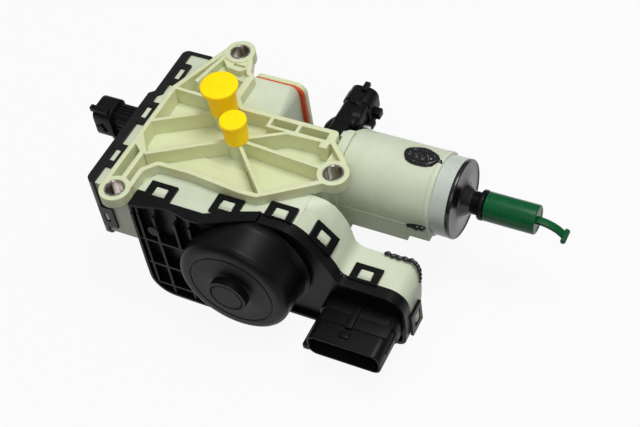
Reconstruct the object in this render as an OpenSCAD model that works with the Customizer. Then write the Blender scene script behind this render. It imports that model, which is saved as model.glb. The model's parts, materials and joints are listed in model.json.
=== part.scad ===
// Diesel exhaust fluid pump: supply module with a motor-driven membrane pump, a filter and
// moulded connectors. The origin is the centre of the right mounting hole, in the mounting plane.
// +X runs along the filter towards its nozzle, +Y away from the motor and +Z out of the mounting face.

/* [Mounting] */
// Position of the rear mounting hole
rear_hole = [-84.3, 61.6]; // [-88:0.1:-80]
// Position of the front left mounting hole
front_hole = [-99.1, -45.8]; // [-101:0.1:-97]
// Radius of the plastic boss round each mounting hole
boss_r = 8.2; // [7.8:0.1:8.8]
// Height of the mounting bosses and of the frame's outer wall
boss_h = 6.2; // [6:0.1:7]
// Outer diameter of the steel sleeves
sleeve_od = 11; // [10.5:0.1:11.5]
// Bore of the steel sleeves, for an M8 screw
sleeve_id = 8.8; // [8.4:0.1:9.2]
// How far a sleeve stands proud of its boss at each end
sleeve_proud = 0.25; // [0.1:0.05:0.4]

/* [Mounting frame] */
// Width of the frame's outer wall
rim_w = 2.6; // [2.2:0.1:3]
// Width of the ribs
rib_w = 1.9; // [1.5:0.1:2.3]
// Depth of the pockets between the ribs
pocket_depth = 10; // [8.5:0.1:10.5]
// Thickness of the frame's floor
floor_t = 2; // [1.5:0.1:2.4]

/* [Ports] */
// Centre of the large port
large_port = [-71.8, 20.6]; // [-74:0.1:-70]
// Centre of the small port
small_port = [-56, 4.4]; // [-58:0.1:-54]
// Outer radius of the large port's spigot
large_spigot_r = 5; // [4.5:0.1:5.3]
// Outer radius of the small port's spigot
small_spigot_r = 4; // [3.5:0.1:4.3]
// Height of the large cap above the mounting plane
large_cap_h = 18.2; // [16:0.2:22]
// Height of the small cap above the mounting plane
small_cap_h = 14.2; // [12:0.2:18]
// Radius of the large cap's head
large_head_r = 9.9; // [9:0.1:11]
// Radius of the small cap's head
small_head_r = 7.1; // [6.9:0.1:8]

/* [Housing] */
// Depth of the feet below the mounting plane
foot_depth = 74; // [72:0.5:80]
// Wall thickness of the housing
wall = 2.8; // [2.2:0.1:3.2]
// Depth of the electronics box below the mounting plane
box_depth = 43.6; // [42:0.2:48]
// Left face of the electronics box
box_left = -117.2; // [-120:0.2:-115]
// Front face of the electronics box
box_front = -42; // [-43:0.5:-41]
// Back face of the electronics box
box_back = 56; // [54:0.5:58]
// Thickness of the black covers and of their snap tabs
cover_t = 1.6; // [1.2:0.1:2]

/* [Motor] */
// Sideways position of the motor axis
motor_x = -33; // [-34:0.1:-32]
// Depth of the motor axis below the mounting plane
motor_depth = 37.4; // [37:0.1:39]
// Outer radius of the motor's cup
cup_r = 30.3; // [29.8:0.1:31]
// Front face of the motor's cup
cup_front = -58.5; // [-62:0.5:-57]
// Plane where the front cover meets the housing round the motor
joint_y = -31; // [-32:0.1:-30]
// Outer radius of the motor's steel can
can_r = 22.2; // [20:0.1:22.4]
// Radius of the motor's shaft
shaft_r = 3; // [2.5:0.1:3.5]
// Throw of the eccentric
throw = 0.8; // [0.5:0.1:1]

/* [Valve] */
// Axis of the reversing valve, seen from above
valve_axis = [-70, 40]; // [-73:0.5:-67]
// Outer radius of the valve's coil
coil_r = 9.5; // [8:0.1:10.5]
// Radius of the plunger
plunger_r = 4.2; // [3.5:0.1:4.6]
// Lift of the plunger
valve_lift = 1.5; // [1:0.1:2]

/* [Filter] */
// Position of the filter's axis behind the right mounting hole
filter_y = 26.7; // [25:0.1:28]
// Depth of the filter's axis below the mounting plane
filter_depth = 27; // [26.5:0.1:30]
// Outer radius of the filter's shell
filter_r = 21.7; // [20:0.1:22]
// Right end of the shell
shell_end = 46; // [42:0.5:50]
// Right face of the black end cap
cap_face = 56.6; // [54:0.2:60]
// Radius of the nozzle's tube, for a quick connector
nozzle_r = 4.75; // [4.4:0.05:5]
// Length of the green protective cap
green_len = 26.8; // [24:0.2:32]
// Outer radius of the green protective cap
green_r = 7.6; // [7.2:0.05:8.5]

/* [Connectors] */
// Centre of the main connector
main_x = 28.3; // [26:0.1:30]
// Width of the main connector's shell
main_w = 39.6; // [36:0.2:42]
// Height of the main connector's shell
main_h = 14; // [13:0.5:16]
// Front edge of the main connector's shell
main_front = -63; // [-66:0.5:-60]
// Columns of terminals in the main connector
main_columns = 6; // [4:1:7]
// Left end of the side connector
side_end = -144; // [-150:0.5:-142]
// Back end of the pressure sensor's connector
sensor_end = 66; // [64:0.5:72]

/* [Hidden] */
$fn = 48;

gap = 0.3;
eps = 0.05;
holes = [rear_hole, front_hole, [0, 0]];
top_z = -boss_h;
foot_z = -foot_depth;
box_z = -box_depth;
frame_base = -pocket_depth - floor_t;
motor_z = -motor_depth;
filter_z = -filter_depth;
lid_z = top_z + cover_t;
can_front = cup_front + 4;
rod_y = 3.5;
// The crank moves both ways by its throw, so the rod's eye is wider by twice the throw.
cam_r = 6;
eye_r = cam_r + 2 * throw + 0.1;
sensor_axis = [-14.7, 40];
liner_r = filter_r - 1.1;
liner_bore = filter_r - 5.1;
valve_floor = -52;

cream = [0.86, 0.88, 0.74];
housing_cream = [0.82, 0.86, 0.77];
liner_white = [0.80, 0.87, 0.86];
black = [0.09, 0.09, 0.09];
steel = [0.66, 0.65, 0.62];
yellow = [0.98, 0.85, 0.02];
green = [0.02, 0.36, 0.17];
orange = [0.86, 0.27, 0.10];
copper = [0.75, 0.45, 0.22];
brass = [0.78, 0.66, 0.30];
rubber = [0.13, 0.13, 0.13];

function arc(c, r, a0, a1, n = 8) =
    [for (i = [0 : n]) c + r * [cos(a0 + (a1 - a0) * i / n), sin(a0 + (a1 - a0) * i / n)]];

// Corner points of the mounting frame, from the rear boss round by the front left and right ones.
back_wall_y = 26.1;
frame_points = [
    [-92.4, 62.4], [-106.6, 27], [-107.3, -45], [-91.2, -43.5], [-91.2, -31], [-86, -25],
    [-68, -24.7], [-38, -27.6], [-29, -27.2], [-10.5, -14.2], [-2, -8.1], [8.2, 0],
    [2.8, 9.2], [-8.2, 19.6], [-8.4, back_wall_y], [-64, back_wall_y], [-68.2, 31],
    [-68.2, 47.5], [-71.6, 49.7], [-76.2, 61.0]
];
// Centre lines of the ribs between the ports, the walls and the bosses.
rib_lines = [
    [[-105.6, 26.6], [-64, 25.2]], [[-105, 1.4], large_port], [[-96.6, -20], small_port],
    [small_port, [-26.6, -25.4]], [small_port, [-6, 1]], [small_port, [-33.3, 16.9]],
    [[-33.3, 16.9], [-13, 17.6]]
];
divider_x = [-45.4, -29.5];
cell_y = 17.9;

// Line where the front cover meets the housing, and the front edge of its lip, seen from above.
joint_line = [[-83, box_front], [-51.3, box_front], [-43, -38.6], [-34.6, -34.6], [-24.6, joint_y]];
lip_line = [
    [-24.9, joint_y - 6.5], [-30, -39.2], [-37.7, -42.6], [-44, -46], [-50, -48], [-58.5, -48.4],
    [-65, -46.6], [-70, -45.6], [-76, -46.6], [-84, -48.8], [-90.7, -49.6]
];
// Outlines seen from the front: the ribbed left part, the shoulder's front and back, the bracket.
left_outline = concat(
    [[-20, lid_z], [-90.4, lid_z], [-90.7, -51.2], [-90.5, -60]],
    arc([-77.5, -60.6], 13, 180, 270, 8), [[-62, foot_z], [-20, foot_z]]
);
shoulder_front = [
    [-30, top_z], [-24.5, top_z], [-14.5, top_z], [-10.5, -6.6], [-7, -7.8], [-3.6, -9.8],
    [-0.4, -12.6], [5.3, -18.6], [9.4, -24.8], [12.2, -29.6], [13.3, -33], [13.3, -60], [-30, -60]
];
shoulder_back = [
    [-30, top_z], [-20, top_z], [-5, -7.2], [1, -8.5], [5, -11], [8, -15.2], [10.6, -20.4],
    [12, -25.4], [13.3, -33], [13.3, -60], [-30, -60]
];
bracket_outline = concat(
    [[-24, -40], [12.9, -31.5], [13.9, -34.2], [15.5, -36.1], [18, -37]],
    arc([40.4, -46.7], 9.4, 90, 0, 8), [[50, -56], [49.3, -66]],
    arc([44.2, -66.4], 5, 0, -90, 5), [[8, foot_z + 1], [2, foot_z], [-24, foot_z]]
);

module box3(low, high) {
    translate(low) cube(high - low);
}

module along_y(x, z, r, y0, y1) {
    translate([x, y1, z]) rotate([90, 0, 0]) cylinder(r = r, h = y1 - y0);
}

module along_x(y, z, r, x0, x1) {
    translate([x0, y, z]) rotate([0, 90, 0]) cylinder(r = r, h = x1 - x0);
}

module along_z(p, r, z0, z1) {
    translate([p[0], p[1], z0]) cylinder(r = r, h = z1 - z0);
}

module ring_x(y, z, outer, inner, x0, x1) {
    difference() {
        along_x(y, z, outer, x0, x1);
        along_x(y, z, inner, x0 - 1, x1 + 1);
    }
}

module ring_y(x, z, outer, inner, y0, y1) {
    difference() {
        along_y(x, z, outer, y0, y1);
        along_y(x, z, inner, y0 - 1, y1 + 1);
    }
}

module ring_z(p, outer, inner, z0, z1) {
    difference() {
        along_z(p, outer, z0, z1);
        along_z(p, inner, z0 - 1, z1 + 1);
    }
}

// A straight bar of square section between two points seen from above.
module bar(p, q, w, z0, z1) {
    run = norm(q - p);
    translate([p[0], p[1], z0])
        rotate([0, 0, atan2(q[1] - p[1], q[0] - p[0])])
            translate([0, -w / 2, 0]) cube([run, w, z1 - z0]);
}

// Outline of a rectangle with round corners, in the plane of its first two coordinates.
function round_rect(low, high, r) = concat(
    arc([high[0] - r, high[1] - r], r, 0, 90, 5), arc([low[0] + r, high[1] - r], r, 90, 180, 5),
    arc([low[0] + r, low[1] + r], r, 180, 270, 5), arc([high[0] - r, low[1] + r], r, 270, 360, 5)
);

// Runs an outline drawn in XZ from y0 to y1.
module run_y(y0, y1) {
    translate([0, y1, 0]) rotate([90, 0, 0]) linear_extrude(y1 - y0) children();
}

// Runs an outline drawn in YZ from x0 to x1.
module run_x(x0, x1) {
    translate([x0, 0, 0]) rotate([90, 0, 90]) linear_extrude(x1 - x0) children();
}

// Runs an outline drawn in XY from z0 to z1.
module run_z(z0, z1) {
    translate([0, 0, z0]) linear_extrude(z1 - z0) children();
}

// A box with the edges along X rounded.
module round_box_x(low, high, r) {
    run_x(low[0], high[0]) polygon(round_rect([low[1], low[2]], [high[1], high[2]], r));
}

// A box with the edges along Y rounded.
module round_box_y(low, high, r) {
    run_y(low[1], high[1]) polygon(round_rect([low[0], low[2]], [high[0], high[2]], r));
}

module frame_outline() {
    offset(r = 2.5, $fn = 32) offset(r = -5, $fn = 32) offset(r = 2.5, $fn = 32) polygon(frame_points);
}

// The part of the frame that sits down into the housing's recess.
module frame_foot_outline(grow = 0) {
    offset(delta = grow) polygon([
        [-105.5, 28], [-105.8, -38.6], [-92.4, -39.8], [-90.4, -31], [-85.8, -23.8], [-68, -23.4],
        [-38, -25.9], [-29.4, -25.3], [-10.8, -12.8], [-7.6, -10.4], [-7.6, 16], [-9.6, 18.6],
        [-9.6, 24.7], [-64.6, 24.7], [-69.6, 30.6], [-69.6, 46], [-96.4, 50]
    ]);
}

// Region where the pockets go down into the foot.
module deep_outline() {
    intersection() {
        offset(delta = -rim_w) frame_outline();
        offset(delta = -1.1) frame_foot_outline();
    }
}

module mounting_frame() {
    color(cream) difference() {
        union() {
            // Outer wall, and the foot's wall below it
            run_z(-boss_h, 0) difference() {
                frame_outline();
                offset(delta = -rim_w) frame_outline();
            }
            run_z(frame_base, -boss_h + eps) difference() {
                frame_foot_outline();
                deep_outline();
            }
            // Floor of the pockets and the shallow floor round them
            run_z(frame_base, frame_base + floor_t) frame_foot_outline();
            run_z(-boss_h, -boss_h + 1.6) difference() {
                offset(delta = -eps) frame_outline();
                deep_outline();
            }
            // Ribs and compartment walls
            intersection() {
                union() {
                    run_z(-boss_h, -0.02) offset(delta = -eps) frame_outline();
                    run_z(frame_base + eps, -boss_h + eps) offset(delta = -eps) frame_foot_outline();
                }
                union() {
                    for (line = rib_lines) bar(line[0], line[1], rib_w, frame_base + eps, 0);
                    for (x = divider_x) bar([x, cell_y], [x, back_wall_y], rib_w, frame_base + eps, 0);
                    bar([-46.3, cell_y], [-13, cell_y], 1.7, frame_base + eps, 0);
                    // Blocks at the right end of the cells and beside the front left boss
                    box3([-14.6, 13.4, frame_base + eps], [-10.2, 18.4, 0]);
                    box3([-13, 17, frame_base + eps], [-9.4, back_wall_y, 0]);
                    run_z(frame_base + eps, 0) polygon([
                        [-105.1, -6.9], [-95.9, -19.2], [-97.6, -21.2], [-99.4, -19.7], [-103.9, -16.2], [-105.1, -15.3]
                    ]);
                    bar([-98.2, -18], [-98.6, -44], 2.6, frame_base + eps, 0);
                    bar([-71, 26], [-71, 46], 2.4, -boss_h, 0);
                    bar([-96.5, 34], [-90.6, 57], 2.2, -boss_h, 0);
                }
            }
            // Web in front of the rear boss
            run_z(-boss_h, -0.6) polygon([[-90.5, 54], [-89, 66], [-79, 66], [-74.5, 52], [-78, 48.6], [-86, 49.4]]);
            // Raised pad on the floor
            run_z(frame_base + floor_t - eps, frame_base + floor_t + 1)
                polygon([[-88, -15.5], [-74, -5.5], [-47, -6.6], [-34, -21], [-84, -22]]);
            for (hole = holes) along_z(hole, boss_r, -boss_h, 0);
            // Necks and spigots of the two ports
            along_z(large_port, large_spigot_r + 1.6, frame_base + eps, -gap);
            along_z(small_port, small_spigot_r + 1.5, frame_base + eps, -gap);
            along_z(large_port, large_spigot_r, -1, large_cap_h - 6);
            along_z(small_port, small_spigot_r, -1, small_cap_h - 5);
        }
        for (hole = holes) along_z(hole, sleeve_od / 2, -boss_h - 1, 1);
        along_z(large_port, large_spigot_r - 1.8, frame_base - 1, large_cap_h);
        along_z(small_port, small_spigot_r - 1.6, frame_base - 1, small_cap_h);
        // Index slot below the rear boss
        box3([-83.4, 51.8, -2.5], [-76.8, 53.2, 1]);
    }
}

module mount_sleeves() {
    color(steel) for (hole = holes) ring_z(hole, sleeve_od / 2, sleeve_id / 2, -boss_h - sleeve_proud, sleeve_proud);
}

// Places of the snap tabs on the front cover: point and turn, joint plane, width and reach.
function snap_tabs() = [
    [[-78.7, top_z], 0, box_front, 15, 10.6],
    [[-42.7, top_z], 0, -37.8, 14.6, 10.1],
    [[-15.4, top_z], 0, joint_y, 15, 8],
    [[4.85, -18.1], 48, joint_y, 15, 10],
    [[26.6, -36.98], 0, joint_y, 15, 8.8],
    [[50.05, -61], 90, joint_y, 15, 10.4]
];

module tab_place(tab) {
    translate([tab[0][0], tab[2], tab[0][1]]) rotate([0, tab[1], 0]) children();
}

module housing_lugs() {
    for (tab = snap_tabs()) tab_place(tab) translate([-3.4, max(tab[4] - 8.4, 0), -1]) cube([6.8, 3.4, 2.2]);
    for (y = [-23, 9]) box3([-115.2, y - 3.6, top_z - 1], [-112.4, y + 3.6, lid_z - 0.4]);
    box3([-112.2, 36.4, top_z - 1], [-109.6, 43.6, lid_z - 0.4]);
    box3([-114.4, box_front - 1, -34], [-112.6, box_front + 1, -28.5]);
}

module pump_housing() {
    color(housing_cream) difference() {
        union() {
            // Electronics box
            box3([box_left, box_front, box_z], [-92, 23, top_z]);
            box3([box_left + 2.6, 20, box_z], [-92, box_back, top_z]);
            // Middle block, with a thin ledge on top up to the cover's joint line
            run_z(foot_z + 8, top_z) polygon([
                [-94, 26], [-94, box_front], [-64.5, box_front], [-64.5, joint_y], [-6.6, joint_y], [-6.6, 26]
            ]);
            difference() {
                run_z(-11, top_z) polygon(concat([[-94, -30], [-94, box_front]], joint_line, [[-24.6, -30]]));
                along_y(motor_x, motor_z, cup_r + gap, box_front - 1, joint_y);
            }
            // Rear chamber
            box3([-94, 24, foot_z + 3], [-46, 52.5, top_z]);
            // Shoulder over the motor, straight under the snap tabs and then flared
            run_y(joint_y, -20) polygon(shoulder_front);
            hull() {
                run_y(-20.1, -20) polygon(shoulder_front);
                run_y(-11.1, -11) polygon(shoulder_back);
            }
            // Bracket behind the main connector, with a sloping back
            intersection() {
                run_y(joint_y, -11) polygon(bracket_outline);
                run_z(foot_z - 1, 0) polygon(concat([[-30, joint_y]], [[51, joint_y]], arc([44, -17.4], 6.4, 0, 90, 6), [[-30, -11]]));
                run_x(-30, 60) polygon([[joint_y, foot_z - 1], [-22, foot_z - 1], [-11, -36], [-11, -20], [joint_y, -20]]);
            }
            // Flange and arm that carry the filter and the sensor
            along_x(filter_y, filter_z, filter_r + 1.9, -9, -3);
            box3([-30, 20, -52], [-5, 46, filter_z]);
            along_z(sensor_axis, 10.4, -52, -20.2);
            box3([-12, 6, -52], [-3, 46, -40]);
            housing_lugs();
        }
        // Recess for the mounting frame
        run_z(frame_base, 1) frame_foot_outline(gap);
        along_z(large_port, large_spigot_r + 1.6 + gap, frame_base, 1);
        run_z(top_z, 1) polygon([[-14, 0], [6, 0], [-2.9, 15], [-7.8, 19.8], [-7.8, 26.5], [-14, 26.5]]);
        along_z(front_hole, sleeve_od / 2 + 0.6, top_z - 3, 1);
        // Electronics space, open to the left
        box3([box_left - 1, box_front + wall, box_z + wall], [-97, 20, frame_base - wall]);
        box3([box_left - 1, 19, box_z + wall], [-100, box_back - wall, frame_base - wall]);
        // Corner beside the rear cover
        box3([-97.3, 52.2, foot_z], [-91, box_back + 1, 1]);
        // Motor space, open to the front, and the hole for its shaft
        along_y(motor_x, motor_z, can_r + gap, joint_y - 20, -11.5);
        along_y(motor_x, motor_z, shaft_r + 1, -12, -6);
        // Crank chamber, diaphragm pocket and pump head chamber
        box3([-61.5, -7, motor_z - 17], [-13, 18, motor_z + 17]);
        along_x(rod_y, motor_z, 6.4, -64, -60);
        along_x(rod_y, motor_z, 13, -70, -62);
        box3([-92.3, -11, motor_z - 17], [-69.5, 18, motor_z + 17]);
        // Rear chamber
        box3([-91, 29, foot_z + 6], [-49, 53, frame_base - wall]);
        // Socket and clearance round the sensor
        along_z(sensor_axis, 6.05, -31, -19);
        along_z(sensor_axis, 11.4, -20.2, 1);
        box3([-26, 40, -20.2], [-3, 60, 1]);
        // Way from the filter into the housing
        along_x(filter_y, filter_z, 5, -14, 0);
    }
    // Posts behind the circuit board
    color(housing_cream) for (y = [-30, 40], z = [-36, -20]) along_x(y, z, 2.2, -110.4, -96);
}

module side_cover() {
    low = box_z - 3.9;
    color(black) {
        difference() {
            union() {
                intersection() {
                    run_z(low, lid_z) polygon(concat(
                        arc([-115.3, box_front + 3.1], 4.5, 180, 270, 6), [[-114.8, box_front - 1.4], [-114.8, 22.4],
                        [-112.6, 24.5], [-112.6, box_back + 1.4]], arc([-113.6, box_back - 2.2], 3.6, 90, 180, 6),
                        [[-117.2, 24.5], [-119.8, 22]]
                    ));
                    run_x(-121, -112) polygon(concat(
                        arc([box_front + 3.6, low + 5], 5, 180, 270, 5), arc([box_back - 3.6, low + 5], 5, 270, 360, 5),
                        [[box_back + 1.4, lid_z], [box_front - 1.4, lid_z]]
                    ));
                }
                // Snap tabs over the top
                for (y = [-23, 9, 40]) box3([-116, y - 8, top_z], [-107.8, y + 8, lid_z]);
                // Snap tabs on the front and the back
                box3([-117, box_front - 1.4, -38.8], [-108.5, box_front, -23.5]);
                box3([-114, box_back, -22], [-100, box_back + 1.4, lid_z]);
            }
            box3([box_left - 0.05, box_front, box_z], [-100, 23.1, top_z]);
            box3([box_left + 2.55, 20, box_z], [-100, box_back, top_z]);
            for (y = [-23, 9]) box3([-117.4, y - 3.9, top_z - 3], [-112, y + 3.9, lid_z + 1]);
            box3([-114.6, 36.1, top_z - 3], [-109.2, 43.9, lid_z + 1]);
            box3([-114.7, box_front - 3, -34.3], [-111.4, box_front + 1, -28.2]);
        }
    }
}

module side_connector() {
    color(black) difference() {
        union() {
            round_box_x([side_end, 1, -26], [side_end + 11, 17, -6.6], 5);
            round_box_x([side_end + 10, 3.6, -25], [-119.8, 15.6, -8.6], 3);
            box3([side_end + 8, 2, -26], [-119.8, 16.5, -22.6]);
            // Key on the upper front edge
            box3([side_end - 1.6, 2.6, -8.4], [side_end + 9, 6, -5.4]);
        }
        round_box_x([side_end - 2, 3, -24], [side_end + 18, 15, -9.2], 3.4);
    }
}

module side_terminals() {
    color(brass) for (y = [6.5, 11.5]) box3([side_end + 6, y - 0.7, -17.3], [side_end + 18, y + 0.7, -15.9]);
}

module front_cover() {
    plate_y = joint_y - 6.5;
    color(black) difference() {
        union() {
            // Ribbed left part: a wall along the outline with a set-back panel
            intersection() {
                union() {
                    run_z(top_z, lid_z)
                        polygon(concat([[-90.7, box_front + 2.6], [-83, box_front + 2.6]], joint_line, lip_line));
                    run_z(-11.1, top_z + eps) polygon(concat([[-91, box_front]], joint_line, lip_line));
                    run_z(foot_z - 1, -11) polygon([
                        [-92, box_front], [-64.2, box_front], [-64.2, joint_y], [-24, joint_y], [-24, plate_y],
                        [-45, -50], [-92, -50]
                    ]);
                }
                run_y(-60, -20) difference() {
                    polygon(left_outline);
                    offset(delta = -cover_t) polygon(left_outline);
                }
            }
            intersection() {
                run_y(-45.2, -43.6) polygon(left_outline);
                box3([-100, -60, foot_z - 1], [-45, -20, top_z]);
            }
            intersection() {
                union() {
                    for (z = [-30.4, -49.6, -65.8]) box3([-92, -49.4, z - 0.7], [-50, -44, z + 0.7]);
                    for (x = [-86.5, -77.5, -65.5, -57]) box3([x - 0.7, -49.4, foot_z], [x + 0.7, -44, top_z]);
                    along_y(-79.4, -21.5, 3.2, -49.8, -44);
                }
                run_y(-60, -20) polygon(left_outline);
                union() {
                    run_z(-11.1, top_z + eps) polygon(concat([[-91, -44], [-30, -40]], lip_line));
                    run_z(foot_z - 1, -11) polygon([[-92, -43], [-30, -43], [-30, -50], [-92, -50]]);
                }
            }
            // Plate and lip round the motor and the bracket
            run_y(plate_y, joint_y) intersection() {
                difference() {
                    union() {
                        offset(delta = 0.7) polygon(bracket_outline);
                        offset(delta = 0.7) polygon(shoulder_front);
                    }
                    offset(delta = -1.2) {
                        polygon(bracket_outline);
                        polygon(shoulder_front);
                    }
                }
                translate([-24.6 + gap, foot_z - 2]) square([80, foot_depth + 2]);
            }
            run_y(plate_y + 2.6, plate_y + 4.4) union() {
                polygon(bracket_outline);
                intersection() {
                    polygon(shoulder_front);
                    translate([-24.6 + gap, foot_z]) square([80, foot_depth]);
                }
                translate([-50, foot_z]) square([30, foot_depth - 11.5]);
            }
            // Cup over the motor
            along_y(motor_x, motor_z, cup_r, cup_front + 3, plate_y + 3);
            along_y(motor_x, motor_z, cup_r - 1.2, cup_front + 1, cup_front + 4);
            along_y(motor_x, motor_z, cup_r - 3.2, cup_front, cup_front + 3);
            along_y(motor_x, motor_z, 10.6, cup_front - 5.2, cup_front + 1);
            for (tab = snap_tabs()) tab_place(tab) difference() {
                translate([-tab[3] / 2, -1.5, 0]) cube([tab[3], tab[4] + 1.5, cover_t]);
                translate([-3.9, tab[4] - 8.8, -1]) cube([7.8, 6.2, 4]);
            }
        }
        along_y(motor_x, motor_z, cup_r - 3.6, cup_front + 3, joint_y + 1);
        ring_y(motor_x, motor_z, 9, 7.8, cup_front - 6, cup_front - 3.6);
        ring_y(motor_x, motor_z, 23, 22.5, cup_front - 1, cup_front + 0.5);
    }
}

module main_connector() {
    top = -49.2;
    left = main_x - main_w / 2;
    root = joint_y - 6.5 + 2.6;
    color(black) difference() {
        union() {
            round_box_y([left, main_front, top - main_h], [left + main_w, root, top], 4.6);
            round_box_y([left - 1.4, -46, top - main_h - 0.6], [left + main_w - 0.1, root, top + 0.6], 4.6);
            // Latch rail on the top, crossbar and nub
            box3([main_x - 3.2, -50, top - 1], [main_x + 0.4, root, top + 1.6]);
            box3([left + 5, -51.4, top - 1], [left + main_w - 5, -49.6, top + 0.8]);
            box3([main_x - 3.6, -56, top - 1], [main_x + 0.6, -53, top + 1.2]);
            // Fin on the left
            box3([3.8, -62, -62.6], [left + 2, -45, -60.6]);
        }
        round_box_y([left + 1.8, main_front - 1, top - main_h + 1.8], [left + main_w - 1.8, -41.5, top - 1.8], 3.4);
    }
}

module main_terminals() {
    pitch = 4.6;
    color(brass) for (i = [0 : main_columns - 1], z = [-58.2, -54.2])
        translate([main_x + (i - (main_columns - 1) / 2) * pitch - 0.4, -55, z - 0.4]) cube([0.8, 13.5, 0.8]);
}

module rear_outline(inset = 0) {
    polygon(round_rect([-97 + inset, foot_z + inset], [-43 - inset, -5.2 - inset], 6 - inset));
}

module rear_cover() {
    color(cream) difference() {
        union() {
            run_y(54, 57.4) rear_outline();
            round_box_y([-75, 57, -64], [-52, 61, -14], 8);
            along_y(-45.6, -30, 2, 57, 58.6);
        }
        box3([-100, 50, -12], [-69.2, 64, 1]);
    }
}

module rear_seal() {
    color(orange) difference() {
        run_y(52.5, 54) difference() {
            rear_outline(1.2);
            polygon(round_rect([-91.6, foot_z + 5.6], [-48.4, -8.6], 2));
        }
        box3([-100, 50, -12], [-69.2, 64, 1]);
    }
}

module pressure_sensor() {
    x = sensor_axis[0];
    color(black) difference() {
        union() {
            along_z(sensor_axis, 6, -30, -18);
            along_z(sensor_axis, 10.8, -19, -13.5);
            along_z(sensor_axis, 9.2, -14, -12);
            round_box_y([-19, 38, -19], [-6.2, 56.5, -7.6], 3.4);
            round_box_y([-21.5, 55.5, -22.5], [-6, sensor_end, -6.9], 5);
            // Key, latch and lower edge
            box3([-14, 58, -8], [-10.4, sensor_end + 1.6, -4.6]);
            box3([-7, 59, -21], [-3.3, 64, -15.5]);
            box3([-12, 50.5, -21.4], [-3.3, 62, -18.6]);
        }
        round_box_y([-19.6, 57.2, -20.6], [-7.9, sensor_end + 3, -8.8], 3.4);
    }
}

module sensor_terminals() {
    color(brass) for (x = [-17, -13.75, -10.5]) box3([x - 0.5, 57.2, -15.5], [x + 0.5, 61.5, -14.3]);
}

module sensor_clip() {
    color(steel) difference() {
        box3([-9.4, 41, -20.2], [-3.1, 48.6, -19.1]);
        along_z(sensor_axis, 6.4, -22, -17);
    }
}

module filter_housing() {
    color(housing_cream) difference() {
        union() {
            along_x(filter_y, filter_z, filter_r, -3, shell_end);
            box3([-3, 5.4, -44.2], [33.8, 48, -30.8]);
            box3([33, 5.6, -40.2], [shell_end, 47.8, -31.2]);
        }
        along_x(filter_y, filter_z, liner_r - 1.4, -4, shell_end + 1);
    }
}

module filter_liner() {
    color(liner_white) difference() {
        union() {
            along_x(filter_y, filter_z, liner_r - 1.7, -3, shell_end + 2);
            along_x(filter_y, filter_z, liner_r, shell_end, cap_face - 2.1);
        }
        along_x(filter_y, filter_z, liner_bore, -4, cap_face);
    }
}

module filter_end_cap() {
    color(black) difference() {
        union() {
            along_x(filter_y, filter_z, liner_r, cap_face - 2.1, cap_face);
            along_x(filter_y, filter_z, liner_bore - gap, cap_face - 10, cap_face - 2);
            translate([cap_face - 0.05, filter_y, filter_z]) rotate([0, 90, 0])
                cylinder(r1 = nozzle_r + 5, r2 = nozzle_r + 2, h = 5);
        }
        ring_x(filter_y, filter_z, liner_bore + 1, liner_bore - 1.9, cap_face - 7.2, cap_face - 4.8);
        along_x(filter_y, filter_z, liner_bore - 4, cap_face - 11, cap_face - 4);
        along_x(filter_y, filter_z, nozzle_r + 0.35, cap_face - 5, cap_face + 6);
    }
}

module filter_o_ring() {
    color(rubber) translate([cap_face - 6, filter_y, filter_z]) rotate([0, 90, 0])
        rotate_extrude() translate([liner_bore - 0.95, 0]) circle(r = 0.88, $fn = 20);
}

module filter_element() {
    color([0.92, 0.92, 0.88]) ring_x(filter_y, filter_z, liner_bore - 3.4, 6, -3, cap_face - 10);
}

module filter_heater() {
    color(copper) ring_x(filter_y, filter_z, liner_bore - 1.2, liner_bore - 2, -3, 40);
}

module inlet_nozzle() {
    color(black) difference() {
        union() {
            along_x(filter_y, filter_z, nozzle_r + 0.3, cap_face - 4, cap_face + 10);
            along_x(filter_y, filter_z, nozzle_r + 1.1, cap_face + 6, cap_face + 8);
            along_x(filter_y, filter_z, nozzle_r + 3.2, cap_face + 9.4, cap_face + 12);
            along_x(filter_y, filter_z, nozzle_r, cap_face + 11, cap_face + 36);
        }
        along_x(filter_y, filter_z, nozzle_r - 1.6, cap_face - 5, cap_face + 37);
    }
}

module inlet_cap() {
    start = cap_face + 12 + gap;
    tip = start + green_len;
    color(green) {
        difference() {
            along_x(filter_y, filter_z, green_r, start, tip);
            along_x(filter_y, filter_z, nozzle_r + gap, start - 1, tip - 2.4);
        }
        // Pull tail with a crossbar
        translate([0, filter_y + 2.2, 0]) rotate([90, 0, 0]) linear_extrude(4.4) polygon([
            [tip - 0.5, filter_z + 0.2], [tip + 5, filter_z - 0.4], [tip + 9, filter_z - 1.7],
            [tip + 13, filter_z - 4.3], [tip + 15, filter_z - 6.6], [tip + 13.6, filter_z - 7.6],
            [tip + 11.8, filter_z - 5.6], [tip + 8, filter_z - 3.3], [tip + 4.6, filter_z - 2.2],
            [tip - 0.5, filter_z - 1.8]
        ]);
        along_y(tip + 14.6, filter_z - 7.2, 1.4, filter_y - 3.8, filter_y + 3.8);
    }
}

module port_cap(port, spigot_r, head_r, height) {
    color(yellow) difference() {
        union() {
            translate([port[0], port[1], 0])
                cylinder(r1 = spigot_r + 2.4, r2 = spigot_r + 2.9, h = height - 1);
            along_z(port, head_r, height - 2.2, height);
        }
        along_z(port, spigot_r + gap, -1, height - 3);
    }
}

module large_port_cap() port_cap(large_port, large_spigot_r, large_head_r, large_cap_h);

module small_port_cap() port_cap(small_port, small_spigot_r, small_head_r, small_cap_h);

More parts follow.
